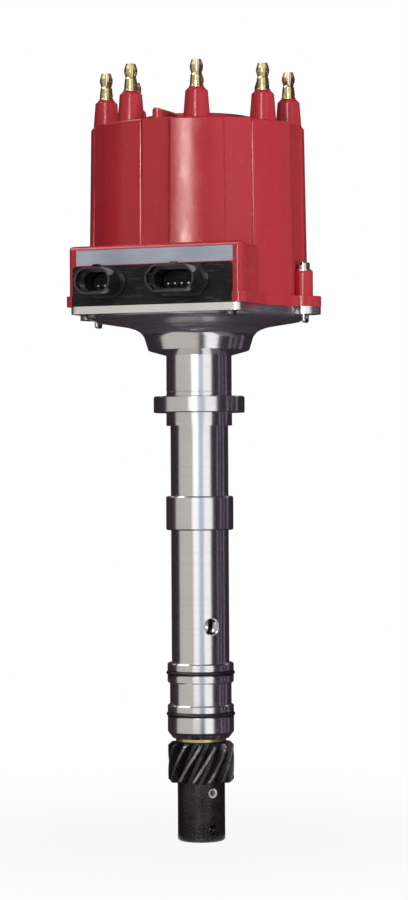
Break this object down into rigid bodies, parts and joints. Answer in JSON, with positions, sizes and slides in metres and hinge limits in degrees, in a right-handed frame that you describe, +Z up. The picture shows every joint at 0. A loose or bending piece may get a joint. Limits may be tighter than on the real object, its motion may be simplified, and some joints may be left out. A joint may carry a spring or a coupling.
{
  "type": "ignition distributor",
  "caption": "Billet-bodied ignition distributor with a tall ribbed cap, male tower terminals, a module with two sockets and a helical drive gear on a long shaft.",
  "frame": {"origin": "on the shaft's axis, in the plane of the clamp collar's underside, which seats on the engine block", "axes": "+Z up the shaft towards the cap, -Y towards the two sockets at the front, +X to the four-way socket's side"},
  "size_m": [0.1264, 0.1244, 0.3739],
  "materials": {
    "cast_aluminium": "bright turned and milled, satin under the deck",
    "billet_aluminium": "fine turned",
    "steel": "bright ground",
    "zinc_steel": "zinc plated, satin",
    "black_oxide": "black oxide with bright worn tooth edges",
    "bronze": "sintered bronze, dull",
    "terminal_brass": "bright formed brass",
    "red_moulding": "glossy glass-filled moulding",
    "black_moulding": "fine-grained moulding",
    "seal_rubber": "oiled nitrile",
    "ferrite": "sintered, matt",
    "winding": "taped winding on a dark bobbin",
    "green_insulation": "satin",
    "carbon": "pressed graphite",
    "label_film": "satin film, bare"
  },
  "bodies": {
    "housing": {"housing": "cast_aluminium", "lower_bushing": "bronze", "upper_seal": "seal_rubber", "lower_seal": "seal_rubber", "bearing_outer_race": "steel", "snap_ring": "steel", "pickup_base": "zinc_steel", "pickup_magnet": "ferrite", "pickup_coil": "winding", "pole_piece": "zinc_steel", "pickup_screws": "zinc_steel", "pickup_lead": "green_insulation", "cap": "red_moulding", "tower_terminals": "terminal_brass", "electrodes": "billet_aluminium", "centre_terminal": "terminal_brass", "brush_spring": "steel", "label_plate": "label_film", "module_case": "black_moulding", "module_board": "green_insulation", "two_way_pins": "zinc_steel", "four_way_pins": "zinc_steel", "module_screws": "zinc_steel", "latch_washers": "zinc_steel", "left_latch_spring": "steel", "right_latch_spring": "steel"},
    "shaft": {"main_shaft": "steel", "bearing_inner_race": "steel", "thrust_washer": "bronze", "gear_shim": "steel", "drive_gear": "black_oxide", "roll_pin": "steel", "reluctor": "steel", "rotor_mount": "billet_aluminium", "rotor": "red_moulding", "rotor_blade": "terminal_brass", "rotor_screws": "zinc_steel"},
    "ball_set": {"bearing_cage": "bronze", "bearing_balls": "steel"},
    "brush": {"carbon_brush": "carbon"},
    "left_latch_press": {"left_spring_seat": "zinc_steel"},
    "left_latch_hook": {"left_latch_screw": "zinc_steel"},
    "right_latch_press": {"right_spring_seat": "zinc_steel"},
    "right_latch_hook": {"right_latch_screw": "zinc_steel"}
  },
  "joints": [
    {"name": "shaft_spin", "type": "hinge", "parent": "housing", "child": "shaft", "pos_m": [0, 0, 0], "axis": [0, 0, 1], "continuous": true},
    {"name": "ball_orbit", "type": "hinge", "parent": "housing", "child": "ball_set", "pos_m": [0, 0, 0.03815], "axis": [0, 0, 1], "continuous": true},
    {"name": "brush_plunge", "type": "slide", "parent": "housing", "child": "brush", "axis": [0, 0, 1], "range_m": [0, 0.002], "stiffness_N_per_m": 80, "springref_m": -0.004, "deforming": ["brush_spring"]},
    {"name": "left_latch_push", "type": "slide", "parent": "housing", "child": "left_latch_press", "axis": [0, 0, -1], "range_m": [0, 0.003], "stiffness_N_per_m": 600, "springref_m": -0.004, "deforming": ["left_latch_spring"]},
    {"name": "left_latch_turn", "type": "hinge", "parent": "left_latch_press", "child": "left_latch_hook", "pos_m": [-0.0548, 0, 0.069], "axis": [0, 0, 1], "range_deg": [0, 180]},
    {"name": "right_latch_push", "type": "slide", "parent": "housing", "child": "right_latch_press", "axis": [0, 0, -1], "range_m": [0, 0.003], "stiffness_N_per_m": 600, "springref_m": -0.004, "deforming": ["right_latch_spring"]},
    {"name": "right_latch_turn", "type": "hinge", "parent": "right_latch_press", "child": "right_latch_hook", "pos_m": [0.0548, 0, 0.069], "axis": [0, 0, -1], "range_deg": [0, 180]}
  ],
  "couplings": [
    {"joint": "ball_orbit", "follows": "shaft_spin", "ratio": 0.3848}
  ]
}
